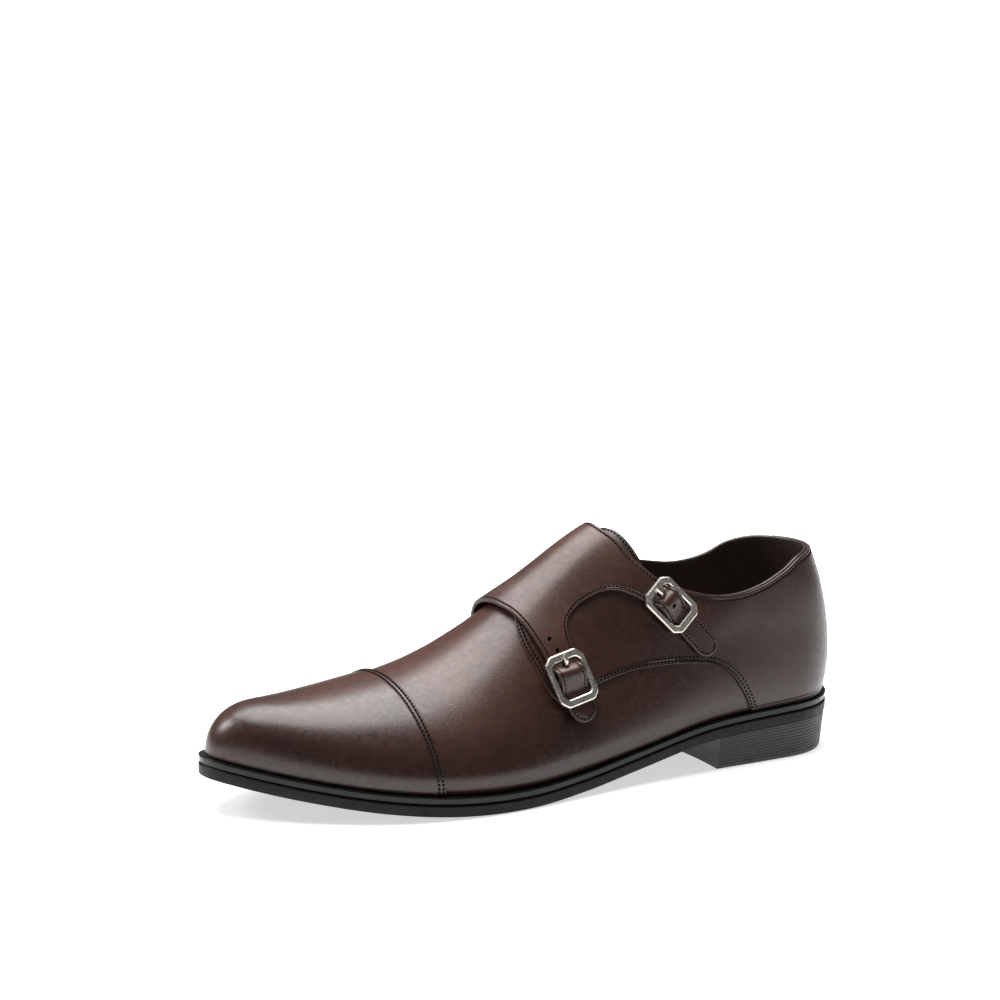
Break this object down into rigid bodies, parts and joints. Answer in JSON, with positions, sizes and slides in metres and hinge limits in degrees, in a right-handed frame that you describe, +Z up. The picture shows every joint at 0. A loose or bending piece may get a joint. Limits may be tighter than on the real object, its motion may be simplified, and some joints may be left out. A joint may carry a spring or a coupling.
{
  "type": "monk strap shoe",
  "caption": "Men's left double monk strap shoe with a toe cap, an open collar and throat, a buckled flap over the tongue, and a moulded sole with a stacked heel.",
  "frame": {"origin": "middle of the shoe's bounding box on the floor under its sole", "axes": "+X from heel to toe, +Y to the outer side of the left foot, +Z up"},
  "size_m": [0.3074, 0.0976, 0.1092],
  "materials": {
    "sole_rubber": "moulded matte black",
    "heel_rubber": "matte black with fine horizontal grooves",
    "sole_edge": "polished black edge",
    "lining": "plain smooth lining",
    "upper_leather": "brown burnished calf, semi-gloss",
    "cap_leather": "brown burnished calf, polished",
    "strap_leather": "brown burnished calf, semi-gloss",
    "dark_leather": "dark brown calf",
    "buckle_metal": "brushed antique nickel"
  },
  "bodies": {
    "root": {"outsole": "sole_rubber", "heel_block": "heel_rubber", "welt": "sole_edge", "insole": "lining", "upper": "upper_leather", "toe_cap": "cap_leather", "backstay": "dark_leather", "tongue": "dark_leather", "strap_flap": "strap_leather", "buckle_frame_front": "buckle_metal", "buckle_prong_front": "buckle_metal", "buckle_tab_front": "dark_leather", "buckle_frame_rear": "buckle_metal", "buckle_prong_rear": "buckle_metal", "buckle_tab_rear": "dark_leather"}
  },
  "joints": []
}
